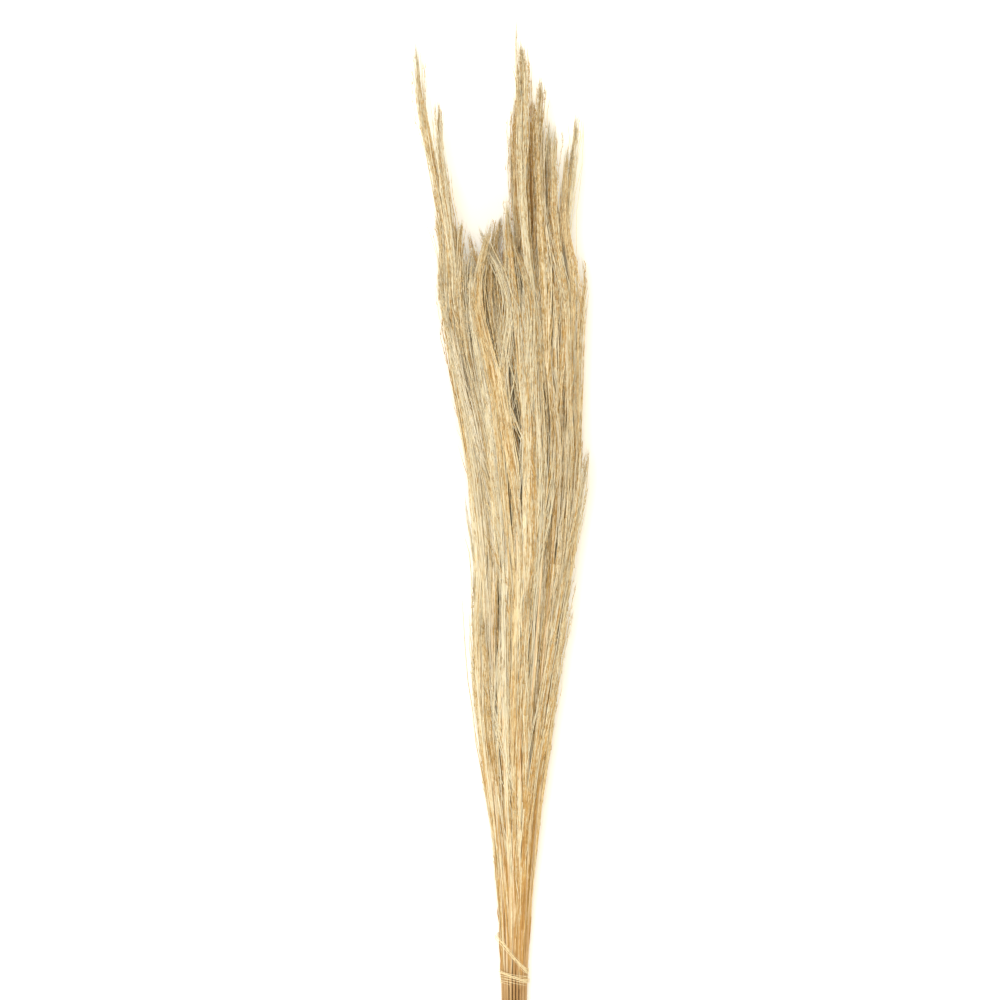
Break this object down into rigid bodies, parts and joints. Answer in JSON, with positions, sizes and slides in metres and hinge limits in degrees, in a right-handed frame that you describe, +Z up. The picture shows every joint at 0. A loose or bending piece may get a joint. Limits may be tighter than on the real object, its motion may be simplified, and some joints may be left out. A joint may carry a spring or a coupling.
{
  "type": "dried broom grass bunch",
  "caption": "Tied bunch of dried broom grass lying on its side: slender straw stems bound near the cut ends that fan out into long, feathery seed plumes.",
  "frame": {"origin": "Middle of the bunch's bounding box in X and Y, on the surface it lies on.", "axes": "+Y from the cut stem ends to the plume tips, +X to the right seen from above with the tips away, +Z up from the surface."},
  "size_m": [0.162, 1, 0.0806],
  "materials": {
    "straw_pale": "matte",
    "straw_golden": "matte",
    "straw_greyed": "matte",
    "binding_straw": "matte"
  },
  "bodies": {
    "root": {"stalk_01": "straw_pale", "stalk_02": "straw_golden", "stalk_03": "straw_pale", "stalk_04": "straw_greyed", "stalk_05": "straw_pale", "stalk_06": "straw_pale", "stalk_07": "straw_golden", "stalk_08": "straw_pale", "stalk_09": "straw_greyed", "stalk_10": "straw_pale", "stalk_11": "straw_pale", "stalk_12": "straw_golden", "stalk_13": "straw_pale", "stalk_14": "straw_greyed", "stalk_15": "straw_pale", "stalk_16": "straw_pale", "stalk_17": "straw_golden", "stalk_18": "straw_pale", "stalk_19": "straw_greyed", "stalk_20": "straw_pale", "stalk_21": "straw_pale", "stalk_22": "straw_golden", "stalk_23": "straw_pale", "stalk_24": "straw_greyed", "stalk_25": "straw_pale", "stalk_26": "straw_pale", "stalk_27": "straw_golden", "stalk_28": "straw_pale", "stalk_29": "straw_greyed", "stalk_30": "straw_pale", "stalk_31": "straw_pale", "stalk_32": "straw_golden", "stalk_33": "straw_pale", "stalk_34": "straw_greyed", "stalk_35": "straw_pale", "stalk_36": "straw_pale", "stalk_37": "straw_golden", "stalk_38": "straw_pale", "stalk_39": "straw_greyed", "stalk_40": "straw_pale", "stalk_41": "straw_pale", "stalk_42": "straw_golden", "stalk_43": "straw_pale", "stalk_44": "straw_greyed", "stalk_45": "straw_pale", "stalk_46": "straw_pale", "stalk_47": "straw_golden", "stalk_48": "straw_pale", "stalk_49": "straw_greyed", "stalk_50": "straw_pale", "stalk_51": "straw_pale", "stalk_52": "straw_golden", "stalk_53": "straw_pale", "stalk_54": "straw_greyed", "stalk_55": "straw_pale", "stalk_56": "straw_pale", "stalk_57": "straw_golden", "stalk_58": "straw_pale", "binding_blade": "binding_straw"}
  },
  "joints": []
}
